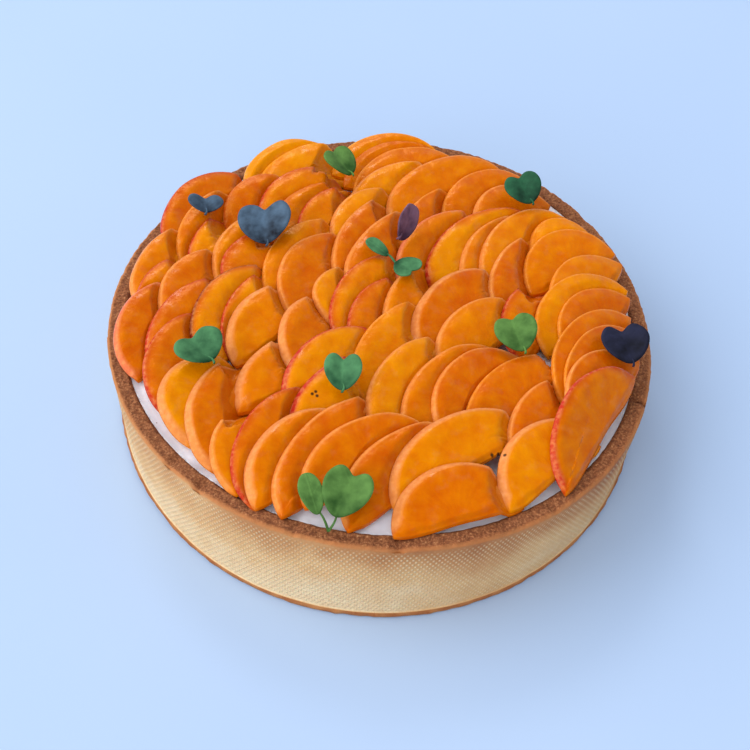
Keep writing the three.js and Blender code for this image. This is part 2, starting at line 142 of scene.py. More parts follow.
# Leaves: the kind, the stem's end in plan, how far the lobes are lifted and the blade rolled in degrees,
# how far the stem's end is below the blades, and the blades as (x, y, heading, width, length, notch)
# from that end. notch is the depth of the notch between the lobes, as a share.
LEAVES = {
    "leaf_back_left": ("blue", (-58, 29.5), 12, 10, 0, [(0, 0, 98, 12, 7, 0.5)]),
    "leaf_slate": ("blue", (-37.5, 18), 14, -12, 0, [(0, 0, 98, 18, 16, 0.5)]),
    "leaf_back": ("green", (-14, 53), 20, 14, 0, [(0, 0, 135, 12.5, 12, 0.35)]),
    "leaf_upright": ("purple", (3, 24), 35, 62, 0, [(0, 0, 70, 9, 12, 0)]),
    "sprig_middle": ("jade", (2, 14), 6, 0, 0, [(-2, 2, 140, 5, 9, 0), (1, 0, -43, 10, 8.5, 0.5)]),
    "leaf_back_right": ("deep", (44.5, 44), 18, -6, 0, [(0, 0, 118, 13, 12, 0.4)]),
    "leaf_right": ("green", (41, -18), 12, -8, 0, [(0, 0, 110, 13.5, 13, 0.4)]),
    "leaf_rim": ("navy", (72, -20), 8, -4, 0, [(0, 0, 103, 15, 14, 0.45)]),
    "leaf_left": ("jade", (-47.5, -30), 10, 6, 0, [(0, 0, 136, 16.5, 11.5, 0.4)]),
    "leaf_middle": ("jade", (-10, -39), 22, 0, 0, [(0, 2, 92, 11.5, 12, 0.5)]),
    "sprig_front": ("green", (-10.3, -77.5), 12, 0, 5,
        [(1.5, 1.5, 70, 14.5, 15.5, 0.4), (-3, 1.8, 112, 7, 12, 0)]),
}
# Kinds of leaf: the material slot, and the colours of its darkest and lightest parts
LEAF_COLOURS = {
    "green": ("green_leaf", (34, 70, 24), (98, 140, 70)),
    "jade": ("green_leaf", (16, 62, 38), (82, 138, 92)),
    "deep": ("green_leaf", (12, 40, 28), (44, 98, 68)),
    "blue": ("blue_leaf", (12, 16, 28), (82, 106, 130)),
    "purple": ("purple_leaf", (62, 40, 62), (132, 98, 120)),
    "navy": ("navy_leaf", (7, 8, 18), (38, 41, 66)),
}
LEAF_THICKNESS = 0.45
STEM_RADIUS = 0.4
STEM_IN_BLADE = 2.0  # how far a stem reaches into its blade
STEM_LENGTH = 3.4  # of a leaf on its own
STEM_LEVEL = 0.35  # height of a stem above the underside of the blades
STEM_BEND = 0.5  # how far a stem bends aside in its middle
NOTCH_ANGLE = 0.42  # half the notch's width, in radians
TIP_NARROWING = 0.3


# Helpers

def srgb(colour):
    """A colour given as 0 to 255 as the linear values that shaders take"""
    share = np.array(colour, float) / 255
    linear = np.where(share <= 0.04045, share / 12.92, ((share + 0.055) / 1.055) ** 2.4)
    return (*linear.tolist(), 1.0)


def smooth(low, high, value):
    """0 below low, 1 above high and a smooth step between them"""
    share = np.clip((value - low) / (high - low), 0, 1)
    return share * share * (3 - 2 * share)


def noise(points, size, seed):
    """Smooth noise from -1 to 1 at points in millimetres, with bumps of about the given size"""
    scaled = np.asarray(points, float) / size + seed * 17.31
    corner = np.floor(scaled).astype(np.int64)
    part = scaled - corner
    part = part * part * (3 - 2 * part)
    total = np.zeros(len(scaled))
    for dx in (0, 1):
        for dy in (0, 1):
            for dz in (0, 1):
                cell = corner + (dx, dy, dz)
                mixed = cell[:, 0] * 73856093 ^ cell[:, 1] * 19349663 ^ cell[:, 2] * 83492791
                mixed = (mixed ^ (mixed >> 13)) * 1274126177 & 0x7FFFFFFF
                value = (mixed % 65536) / 32767.5 - 1
                weight = (np.where(dx, part[:, 0], 1 - part[:, 0])
                          * np.where(dy, part[:, 1], 1 - part[:, 1])
                          * np.where(dz, part[:, 2], 1 - part[:, 2]))
                total += value * weight
    return total


def ring_faces(rings, around, closed_ends):
    """Quads between neighbouring rings of a grid, with fans to a hub before and after if asked"""
    step = np.arange(around)
    following = (step + 1) % around
    quads = []
    for ring in range(rings - 1):
        low, high = ring * around, (ring + 1) * around
        quads.append(np.stack([low + step, low + following, high + following, high + step], 1))
    faces = np.concatenate(quads).tolist()
    if closed_ends:
        start, end = rings * around, rings * around + 1
        last = (rings - 1) * around
        faces += np.stack([following, step, np.full(around, start)], 1).tolist()
        faces += np.stack([last + step, last + following, np.full(around, end)], 1).tolist()
    return faces


def joined(parts):
    """Several meshes as one, each given as its points, its faces and its named values"""
    points, faces, values = [], [], {}
    start = 0
    for part_points, part_faces, part_values in parts:
        points.append(part_points)
        faces += [[corner + start for corner in face] for face in part_faces]
        for key, numbers in part_values.items():
            values.setdefault(key, []).append(numbers)
        start += len(part_points)
    return np.concatenate(points), faces, {key: np.concatenate(values[key]) for key in values}


# How values are stored at the points, by how many numbers there are at each: one, three or four
ATTRIBUTE_KINDS = {(): ("FLOAT", "value"), (3,): ("FLOAT_VECTOR", "vector"), (4,): ("FLOAT_COLOR", "color")}


def make_piece(name, points, faces, values, material):
    """A smooth-shaded object from points in millimetres, with named values at its points"""
    mesh = bpy.data.meshes.new(name)
    mesh.from_pydata((points * MM).tolist(), [], faces)
    mesh.polygons.foreach_set("use_smooth", [True] * len(mesh.polygons))
    for key, numbers in values.items():
        kind, field = ATTRIBUTE_KINDS[numbers.shape[1:]]
        stored = mesh.attributes.new(key, kind, "POINT")
        stored.data.foreach_set(field, numbers.astype(np.float32).ravel())
    mesh.materials.append(material)
    mesh.update()
    piece = bpy.data.objects.new(name, mesh)
    bpy.context.scene.collection.objects.link(piece)
    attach(piece, "root")
    return piece


# Materials

class Shader:
    """A material being built: a few short ways to add the nodes it needs"""

    def __init__(self, name):
        self.material = bpy.data.materials.new(name)
        self.material.use_nodes = True
        self.tree = self.material.node_tree
        self.main = self.tree.nodes["Principled BSDF"]

    def node(self, kind, **settings):
        made = self.tree.nodes.new(kind)
        for key, value in settings.items():
            setattr(made, key, value)
        return made

    def link(self, source, target):
        self.tree.links.new(source, target)

    def attribute(self, name, output="Fac"):
        return self.node("ShaderNodeAttribute", attribute_name=name).outputs[output]

    def noise(self, scale, detail=2.0, roughness=0.5, vector=None):
        made = self.node("ShaderNodeTexNoise")
        made.inputs["Scale"].default_value = scale
        made.inputs["Detail"].default_value = detail
        made.inputs["Roughness"].default_value = roughness
        if vector is None:
            vector = self.node("ShaderNodeTexCoord").outputs["Object"]
        self.link(vector, made.inputs["Vector"])
        return made.outputs["Fac"]

    def ramp(self, value, *stops):
        made = self.node("ShaderNodeValToRGB")
        elements = made.color_ramp.elements
        while len(elements) < len(stops):
            elements.new(0.5)
        for element, (place, colour) in zip(elements, stops):
            element.position = place
            element.color = srgb(colour)
        self.link(value, made.inputs["Fac"])
        return made.outputs["Color"]

    def spread(self, value, low, high, to_low=0.0, to_high=1.0):
        made = self.node("ShaderNodeMapRange")
        ends = {"From Min": low, "From Max": high, "To Min": to_low, "To Max": to_high}
        for key, number in ends.items():
            made.inputs[key].default_value = number
        self.link(value, made.inputs["Value"])
        return made.outputs["Result"]

    def mix(self, share, first, second):
        made = self.node("ShaderNodeMix", data_type="RGBA")
        for value, socket in ((share, made.inputs[0]), (first, made.inputs[6]), (second, made.inputs[7])):
            if isinstance(value, (int, float)):
                socket.default_value = value
            elif isinstance(value, tuple):
                socket.default_value = srgb(value)
            else:
                self.link(value, socket)
        return made.outputs[2]

    def maths(self, operation, first, second=0.0):
        made = self.node("ShaderNodeMath", operation=operation)
        for value, socket in zip((first, second), made.inputs):
            if isinstance(value, (int, float)):
                socket.default_value = value
            else:
                self.link(value, socket)
        return made.outputs[0]

    def bump(self, height, strength, distance):
        made = self.node("ShaderNodeBump")
        made.inputs["Strength"].default_value = strength
        made.inputs["Distance"].default_value = distance
        self.link(height, made.inputs["Height"])
        self.link(made.outputs["Normal"], self.main.inputs["Normal"])

    def set(self, **values):
        for key, value in values.items():
            socket = self.main.inputs[key.replace("_", " ")]
            if isinstance(value, (int, float, tuple)):
                socket.default_value = value
            else:
                self.link(value, socket)


def mesh_pattern(shader):
    """Staggered rows of tiny bumps that a perforated ring leaves: 1 on a bump, 0 between them"""
    place = shader.node("ShaderNodeSeparateXYZ")
    shader.link(shader.node("ShaderNodeTexCoord").outputs["Object"], place.inputs[0])
    angle = shader.maths("ARCTAN2", place.outputs["Y"], place.outputs["X"])
    uneven = shader.maths("MULTIPLY", shader.noise(60, 2), 2.0)
    level = shader.maths("MULTIPLY", place.outputs["Z"], 2 * math.pi / BUMP_RISE)
    level = shader.maths("ADD", level, uneven)
    across = shader.maths("COSINE", shader.maths("MULTIPLY", angle, BUMPS_AROUND))
    bumps = shader.maths("MULTIPLY", across, shader.maths("COSINE", level))
    return shader.spread(bumps, 0.0, 0.8)


def crust_material():
    """Sandy shortcrust: paler where the ring kept it from browning, brown and crumbly on the rim, with
    painted shade on the side away from the light and painted highlights on the ring's bumps and the rim's
    outer edge
    """
    shader = Shader("Shortcrust")
    # The wall's colour by how baked it is, painted darker as painted shade on the side away from the light
    wall = shader.ramp(
        shader.attribute("baked_and_shaded"),
        (0.0, (234, 210, 168)), (0.35, (220, 178, 124)), (0.7, (190, 134, 82)), (1.0, (150, 88, 46)))
    grains = shader.noise(900, 3, 0.7)
    wall = shader.mix(shader.spread(grains, 0.35, 0.75, 0.0, 0.4), wall, (186, 128, 80))
    # Painted highlight: the tops of the ring's bumps are painted paler, in patches
    patchy = shader.spread(shader.noise(90, 2), 0.3, 0.65, 0.35, 1.0)
    bumps = shader.maths("MULTIPLY", mesh_pattern(shader), shader.attribute("wall"))
    light = shader.maths("MULTIPLY", shader.maths("MULTIPLY", bumps, patchy), 0.55)
    wall = shader.mix(light, wall, (246, 224, 180))
    crumbs = shader.noise(1400, 4, 0.75)
    rim = shader.ramp(
        crumbs,
        (0.3, (80, 40, 20)), (0.5, (134, 78, 44)), (0.64, (172, 114, 72)), (0.76, (222, 180, 134)))
    colour = shader.mix(shader.attribute("rim"), wall, rim)
    # Painted highlight: a lighter orange band along the rim's outer edge
    colour = shader.mix(shader.attribute("edge"), colour, (188, 116, 64))
    shader.set(Base_Color=colour, Roughness=0.78, Specular_IOR_Level=0.3,
               Subsurface_Weight=0.05, Subsurface_Scale=0.0008)
    rough = shader.maths("ADD", grains, shader.maths("MULTIPLY", crumbs, 0.8))
    shader.bump(shader.maths("ADD", rough, bumps), 0.6, 0.0005)
    return shader.material


def cream_material():
    """White cream with a few dark specks of vanilla"""
    shader = Shader("Cream")
    tone = shader.noise(180, 3)
    colour = shader.mix(shader.spread(tone, 0.4, 0.7), (234, 233, 242), (220, 217, 226))
    colour = shader.mix(shader.spread(shader.noise(1100, 0), 0.83, 0.86), colour, (96, 70, 56))
    shader.set(Base_Color=colour, Roughness=0.42, Subsurface_Weight=0.35, Subsurface_Scale=0.002,
               Subsurface_Radius=(1.0, 0.8, 0.7))
    shader.bump(tone, 0.25, 0.0004)
    return shader.material


# Dark crumbs that lie on the fruit: their places in plan, and their size in metres
FRUIT_SPECKS = [(-18.3, -37.0), (-17.4, -36.2), (-16.9, -37.4), (32.4, -52.0), (34.2, -51.4), (35.8, -52.3)]
SPECK_RADIUS = 0.0006


def speck_share(shader, places):
    """1 on small round specks at places in plan, 0 elsewhere"""
    flat = shader.node("ShaderNodeVectorMath", operation="MULTIPLY")
    shader.link(shader.node("ShaderNodeTexCoord").outputs["Object"], flat.inputs[0])
    flat.inputs[1].default_value = (1, 1, 0)
    total = 0.0
    for x, y in places:
        away = shader.node("ShaderNodeVectorMath", operation="DISTANCE")
        shader.link(flat.outputs[0], away.inputs[0])
        away.inputs[1].default_value = (x * MM, y * MM, 0)
        dark = shader.spread(away.outputs["Value"], SPECK_RADIUS, SPECK_RADIUS / 2)
        total = shader.maths("MAXIMUM", total, dark)
    return total


def fruit_material():
    """Cut apricot under a clear glaze: fine fibres from stone to skin, and the skin along the edge"""
    shader = Shader("Glazed apricot")
    grain = shader.attribute("grain", "Vector")
    fibres = shader.noise(1.0, 3, 0.6, grain)
    cloudy = shader.noise(220, 3)
    tone = shader.maths("ADD", shader.attribute("tone"), shader.spread(cloudy, 0.3, 0.7, -0.22, 0.22))
    flesh = shader.ramp(tone, (0.0, (192, 80, 0)), (0.5, (208, 108, 0)), (1.0, (222, 134, 0)))
    flesh = shader.mix(shader.spread(fibres, 0.45, 0.8, 0.0, 0.12), flesh, (236, 148, 0))
    # Darker towards the stone: partly deeper flesh there, partly painted shade where the cut edge lies
    # under other slices
    flesh = shader.mix(shader.maths("MULTIPLY", shader.attribute("core_and_shade"), 0.15), flesh, (190, 80, 0))
    flesh = shader.mix(shader.attribute("flush"), flesh, (184, 52, 4))
    skin = shader.mix(shader.spread(shader.noise(700, 2), 0.4, 0.7, 0.0, 0.3),
                      shader.attribute("skin_colour", "Color"), (244, 176, 108))
    colour = shader.mix(shader.attribute("skin"), flesh, skin)
    colour = shader.mix(speck_share(shader, FRUIT_SPECKS), colour, (70, 34, 14))
    wet = shader.spread(shader.noise(320, 2), 0.56, 0.68, 0.02, 0.35)
    shader.set(Base_Color=colour, Roughness=0.26, Subsurface_Weight=0.06, Subsurface_Scale=0.0012,
               Subsurface_Radius=(1.0, 0.5, 0.05), Coat_Weight=wet, Coat_Roughness=0.1,
               Specular_IOR_Level=0.5, Specular_Tint=(1.0, 0.45, 0.04, 1.0))
    fine = shader.maths("MULTIPLY", fibres, 0.4)
    relief = shader.maths("ADD", fine, shader.maths("MULTIPLY", cloudy, 2.0))
    shader.bump(relief, 0.35, 0.0006)
    return shader.material


def leaf_material(name, dark, light):
    """Mottled, with pale veins, and darker towards the stem"""
    shader = Shader(name)
    mottle = shader.noise(260, 3, 0.5)
    shade = shader.maths("ADD", shader.maths("MULTIPLY", shader.attribute("vein"), 0.1), mottle)
    shade = shader.maths("ADD", shader.maths("MULTIPLY", shader.attribute("far"), 0.55), shade)
    colour = shader.mix(shader.spread(shade, 0.45, 1.15), dark, light)
    shader.set(Base_Color=colour, Roughness=0.6, Specular_IOR_Level=0.12)
    shader.bump(shader.maths("SUBTRACT", mottle, shader.attribute("vein")), 0.35, 0.0003)
    return shader.material


def floor_material():
    """Pale blue, hardly mottled"""
    shader = Shader("Pale blue paper")
    mottle = shader.spread(shader.noise(5, 2), 0.3, 0.7)
    colour = shader.mix(mottle, (172, 196, 231), (176, 199, 232))
    shader.set(Base_Color=colour, Roughness=0.9, Specular_IOR_Level=0.1)
    return shader.material


# Crust

# Chips in the rim: angle and half width in degrees, and depth in millimetres
CHIPS = [(-133, 1.6, 1.2), (-125, 1.8, 1.4), (-84, 2.2, 1.2), (-18, 1.2, 1.6), (-52, 1.5, 0.7),
         (-104, 1.4, 0.6), (38, 1.8, 0.8), (172, 1.6, 0.7)]
# The bumps that the ring leaves on the wall: how many go round, and how far apart the like rows are
# in metres
BUMPS_AROUND = 322
BUMP_RISE = 0.0024
# The side of the case that faces the window light, in degrees: the wall is painted darker, as painted
# shade, the farther it turns away from it
LIT_SIDE = 215


def roundness(angle, height):
    """The radius at an angle and a height as a share of its mean, as the case is out of round"""
    rim = (-0.007 * np.cos(3 * angle) - 0.007 * np.sin(3 * angle)
           - 0.0014 * np.cos(4 * angle) - 0.0014 * np.sin(4 * angle))
    base = 0.0014 * np.cos(3 * angle) + 0.0068 * np.sin(3 * angle)
    share = height / HEIGHT
    return 1 + rim * share + base * (1 - share)


def chip_depth(angle):
    """How far the rim is chipped away at an angle"""
    deepest = np.zeros_like(angle)
    for centre, half_width, depth in CHIPS:
        away = np.abs((np.degrees(angle) - centre + 540) % 360 - 180)
        deepest = np.maximum(deepest, depth * np.clip(1 - away / half_width, 0, 1))
    return deepest


def crust_profile():
    """Radius and height of each ring, from the middle of the underside round to the middle inside"""
    # The corners of the profile, and how many rings lead to each from the one before
    underside = [((0.5, 0), 0), ((RIM_RADIUS - 0.6, 0), 3)]
    base_bead = [((RIM_RADIUS + 0.4, 0.5), 3), ((RIM_RADIUS + 0.5, 1.4), 3), ((RIM_RADIUS - 0.2, 2.4), 4)]
    wall = [((RIM_RADIUS, HEIGHT - 0.8), 62)]
    rim = [((RIM_RADIUS - 0.7, HEIGHT), 3), ((INNER_RADIUS + 0.8, HEIGHT), 10)]
    inside = [
        ((INNER_RADIUS, HEIGHT - 0.8), 3), ((INNER_RADIUS, CREAM_LEVEL - 3), 4),
        ((INNER_RADIUS, FLOOR), 2), ((0.5, FLOOR), 2),
    ]
    corners = underside + base_bead + wall + rim + inside
    rings = [corners[0][0]]
    for (start, _), (end, count) in zip(corners, corners[1:]):
        for part in range(1, count + 1):
            rings.append(np.add(start, np.subtract(end, start) * part / count))
    return np.array(rings)


def crust_zones(radius, height):
    """Which points lie on the outer wall, and which on the rim"""
    on_wall = (radius > RIM_RADIUS - 0.35) & (height > 1.5) & (height < HEIGHT - 0.7)
    on_rim = (height > HEIGHT - 1.2) & (radius > INNER_RADIUS - 0.2)
    return on_wall, on_rim


def crust_points(turn, radius, height, flat):
    """The profile turned round, with a crumbly and chipped rim and a slightly bulging wall"""
    on_wall, on_rim = crust_zones(radius, height)
    crumble = noise(flat, 1.6, 1) * 0.26 + noise(flat, 0.8, 2) * 0.14
    chips = smooth(INNER_RADIUS, INNER_RADIUS + 1, radius) * chip_depth(turn)
    lift = on_rim * crumble - on_rim * chips
    bulge = noise(flat, 12, 8) * 0.2 + noise(flat, 4, 9) * 0.07
    outer = on_wall | (on_rim & (radius > RIM_RADIUS - 1))
    out = radius * roundness(turn, height) + outer * (bulge + crumble * 0.35 * on_rim)
    base_edge = (radius > RIM_RADIUS - 0.8) & (height < 1.6) & (height > 0.1)
    out += base_edge * (noise(flat, 2.2, 4) * 0.25)
    return np.stack([out * np.cos(turn), out * np.sin(turn), height + lift], 1)


def crust_values(turn, radius, height, flat):
    """What the material asks for at each point: how baked it is, darkened as painted shade on the side away
    from the light, and its share of wall, rim and the rim's outer edge, which carries a painted highlight
    """
    on_wall, on_rim = crust_zones(radius, height)
    # Painted shade: the wall is coloured as more baked on the side that faces away from the light
    shaded_side = 0.5 - 0.5 * np.cos(turn - math.radians(LIT_SIDE))
    wall = 0.1 + 0.5 * smooth(8, HEIGHT, height) + 0.46 * shaded_side
    wall += 0.2 * noise(flat, 16, 6) + 0.1 * noise(flat, 5, 7)
    base = 0.95 + 0.2 * noise(flat, 3, 10)
    baked_and_shaded = np.where(height < 2.0, base, wall)
    # Painted highlight along the rim's outer corner, a little patchy
    edge = np.exp(-((radius - RIM_RADIUS + 0.35) / 0.5) ** 2) * (0.65 + 0.3 * noise(flat, 3, 12))
    return {
        "baked_and_shaded": np.clip(baked_and_shaded, 0, 1),
        "wall": on_wall * smooth(2.0, 3.5, height) * smooth(HEIGHT - 1, HEIGHT - 4, height),
        "rim": on_rim * smooth(RIM_RADIUS + 0.1, RIM_RADIUS - 0.9, radius),
        "edge": np.clip(edge * on_rim, 0, 1),
    }


def make_crust():
    """The profile swept round, with a hub in the middle of the underside and of the floor inside"""
    profile = crust_profile()
    around = 960
    angle = np.linspace(0, 2 * math.pi, around, endpoint=False)
    radius = np.repeat(profile[:, 0], around)
    height = np.repeat(profile[:, 1], around)
    turn = np.tile(angle, len(profile))
    flat = np.stack([radius * np.cos(turn), radius * np.sin(turn), height], 1)
    hubs = [(0, 0, 0), (0, 0, FLOOR)]
    points = np.concatenate([crust_points(turn, radius, height, flat), hubs])
    values = crust_values(turn, radius, height, flat)
    values = {key: np.append(numbers, [0.0, 0.0]) for key, numbers in values.items()}
    faces = ring_faces(len(profile), around, True)
    piece = make_piece("crust_baked", points, faces, values, crust_material())
    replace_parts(piece, "crust")


# Laying the slices

# In a slice's own plane, depth runs from the crown of its curved edge towards its cut edge, and along
# runs towards its far tip. Two square grids in plan are used, a coarse one for what lies where and a
# finer one for draping.
GRID_STEP = 0.5
GRID_REACH = 95.0
GRID_SIDE = int(2 * GRID_REACH / GRID_STEP) + 1
COARSE_CELL = 1.0


def case_height(x, y):
    """Height of the cream or the rim at places in plan, with the gap that slices keep to it"""
    out = np.hypot(x, y) / roundness(np.arctan2(y, x), HEIGHT)
    cream = CREAM_LEVEL + CREAM_DOME * (1 - (out / INNER_RADIUS) ** 2)
    crust = np.where(out < RIM_RADIUS + 1, HEIGHT + RIM_ROUGHNESS, 0)
    return np.where(out < INNER_RADIUS - 1, cream, crust) + GAP


def outline(length, shares):
    """Points of the slice's outline. shares from 0 to 1 run round the curved edge, 1 to 2 the cut one."""
    half = length / 2
    turn = (np.clip(shares, 0, 1) - 0.5) * math.pi
    level = 1 - 2 * np.clip(shares - 1, 0, 1)
    bulge = CUT_BULGE * (1 - level ** 6)
    curved = shares <= 1
    depth = np.where(curved, ARC_DEPTH * (1 - np.cos(turn)), ARC_DEPTH + bulge)
    along = np.where(curved, half * np.sin(turn), half * level)
    return depth, along


class Slice:
    """One laid slice: its axes in space, and the height of its underside at its crown"""

    def __init__(self, x, y, heading, length, skin, lean=LEAN_OUT):
        turn, out, back = (math.radians(value) for value in (heading, lean, LEAN_BACK))
        self.x, self.y, self.length, self.skin = x, y, length, skin
        self.depth = np.array(
            [-math.cos(turn) * math.cos(out), -math.sin(turn) * math.cos(out), -math.sin(out)])
        self.along = np.array(
            [math.sin(turn) * math.cos(back), -math.cos(turn) * math.cos(back), math.sin(back)])
        face = np.cross(self.depth, self.along)
        self.tall = SLICE_THICKNESS / (face[2] / np.linalg.norm(face))
        # The near end of its cut edge is a gap above the cream's edge, until the slice is lifted
        self.height = CREAM_LEVEL + GAP - self.depth[2] * SLICE_WIDTH + self.along[2] * length / 2

    def place(self, depth, along):
        """Places in space of points in the slice's plane, on its underside"""
        base = np.array([self.x, self.y, self.height])
        return base + np.outer(depth, self.depth) + np.outer(along, self.along)

    def local(self, x, y):
        """The slice's own depth and along for places in plan"""
        matrix = np.array([self.depth[:2], self.along[:2]]).T
        inverse = np.linalg.inv(matrix)
        away = np.stack([x - self.x, y - self.y])
        return np.tensordot(inverse, away, 1)


def coarse_cell(x, y):
    """Row and column of the coarse grid's cell at places in plan"""
    column = np.floor((x + GRID_REACH) / COARSE_CELL + 0.5).astype(int)
    row = np.floor((y + GRID_REACH) / COARSE_CELL + 0.5).astype(int)
    return row, column


def samples_of(piece):
    """Points inside the outline, close enough to touch every coarse cell"""
    half = piece.length / 2
    depth, along = np.meshgrid(
        np.arange(0.2, SLICE_WIDTH, 0.8), np.arange(-half, half + 0.001, 0.8), indexing="ij")
    depth, along = depth.ravel(), along.ravel()
    rise = np.maximum(0, 1 - depth / ARC_DEPTH)
    inside = rise ** 2 + (along / half) ** 2 < 1
    return depth[inside], along[inside]


def lay_slices():
    """Every slice in order, lifted where its curved edge would press too far into the others"""
    span = np.arange(-GRID_REACH, GRID_REACH + COARSE_CELL / 2, COARSE_CELL)
    ground = case_height(*np.meshgrid(span, span))
    laid = []
    for number, cluster in enumerate(SLICES, 1):
        for values in cluster:
            piece = Slice(*values)
            piece.node = f"slice_{number}"
            edge = piece.place(*outline(piece.length, np.arange(10) / 9))
            sunk = (ground[coarse_cell(edge[:, 0], edge[:, 1])] - edge[:, 2]).max()
            piece.height += min(MOST_RAISED, max(0, sunk - MOST_SUNK))
            cover = piece.place(*samples_of(piece))
            ground[coarse_cell(cover[:, 0], cover[:, 1])] = cover[:, 2] + piece.tall
            laid.append(piece)
    return laid


# Draping

# The slices are shaped from the top one down. The ceiling is the lowest underside over each place of
# those shaped so far, and the next slice stays below it.
LEAST_THICKNESS = 0.9
SKIN_GAP = 0.08  # left between a slice and the ceiling
EDGE_SHARE = 0.5  # of the thickness that is left at a slice's edge
EDGE_RUN = 6.0  # how far inside the edge the slice has its full thickness
SOFT_SLOPE = 1.1  # how steeply a slice rises beside the one that presses into it
SLOPE_RUN = 6.0  # how far that slope goes on
LONGEST_REACH = 46.0  # no slice, its slope included, reaches farther from its crown
OPEN_AIR = 1000.0  # the ceiling where nothing lies above


def grid_sample(grid, x, y):
    """The grid's value at places in plan, between its four nearest points"""
    column = np.clip((x + GRID_REACH) / GRID_STEP, 0, GRID_SIDE - 1.001)
    row = np.clip((y + GRID_REACH) / GRID_STEP, 0, GRID_SIDE - 1.001)
    c, r = column.astype(int), row.astype(int)
    u, v = column - c, row - r
    top = grid[r, c] * (1 - u) + grid[r, c + 1] * u
    low = grid[r + 1, c] * (1 - u) + grid[r + 1, c + 1] * u
    return top * (1 - v) + low * v


def distance_outside(piece, depth, along):
    """About how far places lie outside the slice's outline, below 0 inside it"""
    half = piece.length / 2
    rise = np.clip(1 - depth / ARC_DEPTH, 0, None)
    round_part = np.sqrt(rise ** 2 + (along / half) ** 2)
    curved = (round_part - 1) * (ARC_DEPTH * rise + np.abs(along)) / np.maximum(round_part, 0.01)
    bulge = CUT_BULGE * (1 - np.clip(np.abs(along) / half, 0, 1) ** 6)
    straight = np.maximum(depth - ARC_DEPTH - bulge, np.abs(along) - half)
    return np.where(depth > ARC_DEPTH, straight, curved)


def lower_ceiling(ceiling, piece, span):
    """Takes a slice's underside into the ceiling, with a soft slope round it"""
    x, y = np.meshgrid(span, span)
    near = np.hypot(x - piece.x, y - piece.y) < LONGEST_REACH
    depth, along = piece.local(x[near], y[near])
    away = distance_outside(piece, depth, along)
    under = piece.height + depth * piece.depth[2] + along * piece.along[2]
    pressed = np.minimum(under, ceiling[near] - SKIN_GAP - LEAST_THICKNESS)
    under = np.where(ceiling[near] == OPEN_AIR, under, pressed)
    reach = under + np.clip(away - 0.2, 0, None) * SOFT_SLOPE
    reach = np.where(away > SLOPE_RUN, OPEN_AIR, reach)
    ceiling[near] = np.minimum(ceiling[near], reach)


# Slices

CURVED_STEPS, CUT_STEPS = 58, 30
AROUND = CURVED_STEPS + CUT_STEPS
# The rings of the slanted band of skin: their share of the thickness and of the band's width
BAND_RINGS = ((0.0, 0.12), (0.12, 0.0), (0.35, 0.1), (0.6, 0.32), (0.82, 0.62), (0.94, 0.84))
# The rings of the cut face, as shares of the way from its middle to its edge
TOP_RINGS = (0.97, 0.92, 0.85, 0.76, 0.66, 0.54, 0.42, 0.3, 0.18, 0.08)
DISH_DEPTH = 0.35  # how far the cut face is hollowed between its edges
HOLLOW = 0.9  # how far the cut edge is drawn in where the stone lay
WOBBLE = 0.35  # how far the outline strays from the plain curve
# How far the flesh beside the skin is flushed
FLUSH = {"red": 0.75, "ruby": 0.8, "dark": 0.9, "pink": 0.3, "amber": 0.3}
LEAST_FLUSH = 0.06
# How light the flesh is: 0 for the deepest orange, 1 for the palest
MEAN_TONE = 0.5
TONE_SPREAD = 0.35
TONE_SHIFT = {"gold": 0.2, "amber": -0.2}


def inward_from(edge, middle):
    """For each point of a closed outline, the direction at right angles to it that goes inwards"""
    ahead = np.roll(edge, -1, 0) - np.roll(edge, 1, 0)
    ahead /= np.hypot(ahead[:, 0], ahead[:, 1])[:, None]
    aside = np.stack([ahead[:, 1], -ahead[:, 0]], 1)
    facing = ((middle - edge) * aside).sum(1)
    return aside * np.sign(facing)[:, None]


def slice_rings(piece, seed):
    """The slice's rings in its own plane as (points, share of the thickness, share of skin)"""
    shares = np.concatenate([
        np.linspace(0, 1, CURVED_STEPS, endpoint=False), np.linspace(1, 2, CUT_STEPS, endpoint=False)])
    plain = np.stack(outline(piece.length, shares), 1)
    middle = np.array([SLICE_WIDTH * 0.55, 0.0])
    inward = inward_from(plain, middle)
    wobble = noise(np.column_stack([plain, np.full(AROUND, seed * 3.7)]), 9, 21) * WOBBLE
    hollow = np.where(shares > 1, HOLLOW * np.sin(math.pi * np.clip(shares - 1, 0, 1)) ** 2, 0)
    start = plain + inward * (wobble + hollow)[:, None]

    _, skin_width = SKINS[piece.skin]
    on_arc = smooth(0.0, 0.07, shares) * smooth(1.0, 0.93, shares)
    near_tip = smooth(0.85, 0.2, shares)
    band = inward * (on_arc * skin_width * (0.4 + 0.6 * near_tip) + 0.25)[:, None]
    no_skin = np.zeros(AROUND)
    rings = [(middle + (start - middle) * 0.6, 0.0, no_skin)]
    for height, part in BAND_RINGS:
        rings.append((start + band * part, height, on_arc))
    rings.append((start + band + inward * 0.18, 0.99, on_arc * 0.5))
    edge = start + band + inward * 0.45
    for share in TOP_RINGS:
        rings.append((middle + (edge - middle) * share, 1.0, no_skin))
    return rings, middle


def slice_values(piece, seed, depth, along, rounded, skin):
    """What the material asks for at each point of a slice"""
    stone = SLICE_WIDTH * 0.95
    away = np.hypot(depth - stone, along * 0.8)
    turn = np.arctan2(along, stone - depth)
    flush = FLUSH.get(piece.skin, LEAST_FLUSH) * smooth(-4.5, -0.2, rounded) * (depth < ARC_DEPTH * 0.97)
    colour, _ = SKINS[piece.skin]
    return {
        "skin": skin,
        "grain": np.stack([turn * 9, away * 0.12, np.full(len(away), seed * 3.0)], 1),
        "tone": np.full(len(depth), piece.tone),
        # Deeper flesh near the stone, with painted shade under the slices above
        "core_and_shade": smooth(11, 3, away),
        "flush": flush * (1 - skin),
        "skin_colour": np.tile(srgb(colour), (len(depth), 1)),
    }


